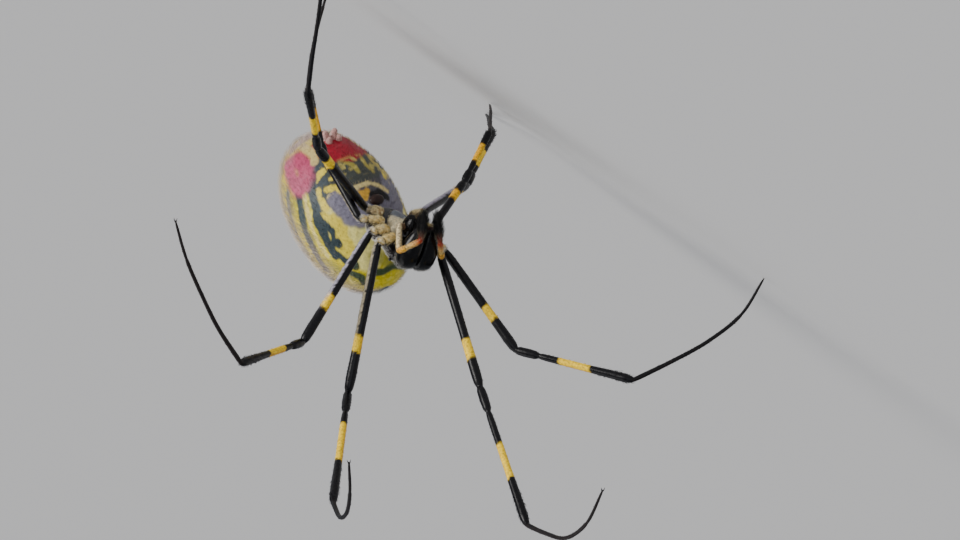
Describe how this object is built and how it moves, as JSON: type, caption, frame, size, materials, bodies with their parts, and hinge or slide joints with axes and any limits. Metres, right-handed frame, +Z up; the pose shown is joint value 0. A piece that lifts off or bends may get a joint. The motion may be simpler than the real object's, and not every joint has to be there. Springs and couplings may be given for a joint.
{
  "type": "joro spider",
  "caption": "Life-size adult female Joro spider, reared with three legs raised and five standing, with a plump banded abdomen, jaws and palps",
  "frame": {"origin": "middle of the bounding box in plan, on the level of the soles", "axes": "+Z up, the head points to -Y, the spider's left is +X"},
  "size_m": [0.0516, 0.0594, 0.0391],
  "materials": {
    "belly": "soft-skinned abdomen, satin, in yellow, slate and crimson patches",
    "carapace": "black horn-like shell under short silvery hair",
    "chelicera": "glossy black jaws",
    "palp": "cream to orange feelers with dark hairy tips",
    "waist": "dark thin waist",
    "leg": "glossy black with a blue-violet sheen and yellow bands"
  },
  "bodies": {
    "root": {"abdomen": "belly", "left_1_coxa": "leg", "left_1_femur": "leg", "left_1_metatarsus": "leg", "left_1_patella": "leg", "left_1_tarsus": "leg", "left_1_tibia": "leg", "left_2_coxa": "leg", "left_2_femur": "leg", "left_2_metatarsus": "leg", "left_2_patella": "leg", "left_2_tarsus": "leg", "left_2_tibia": "leg", "left_3_coxa": "leg", "left_3_femur": "leg", "left_3_metatarsus": "leg", "left_3_patella": "leg", "left_3_tarsus": "leg", "left_3_tibia": "leg", "left_4_coxa": "leg", "left_4_femur": "leg", "left_4_metatarsus": "leg", "left_4_patella": "leg", "left_4_tarsus": "leg", "left_4_tibia": "leg", "left_chelicera": "chelicera", "left_palp_femur": "palp", "left_palp_tarsus": "palp", "left_palp_tibia": "palp", "petiole": "waist", "prosoma": "carapace", "right_1_coxa": "leg", "right_1_femur": "leg", "right_1_metatarsus": "leg", "right_1_patella": "leg", "right_1_tarsus": "leg", "right_1_tibia": "leg", "right_2_coxa": "leg", "right_2_femur": "leg", "right_2_metatarsus": "leg", "right_2_patella": "leg", "right_2_tarsus": "leg", "right_2_tibia": "leg", "right_3_coxa": "leg", "right_3_femur": "leg", "right_3_metatarsus": "leg", "right_3_patella": "leg", "right_3_tarsus": "leg", "right_3_tibia": "leg", "right_4_coxa": "leg", "right_4_femur": "leg", "right_4_metatarsus": "leg", "right_4_patella": "leg", "right_4_tarsus": "leg", "right_4_tibia": "leg", "right_chelicera": "chelicera", "right_palp_femur": "palp", "right_palp_tarsus": "palp", "right_palp_tibia": "palp"}
  },
  "joints": []
}
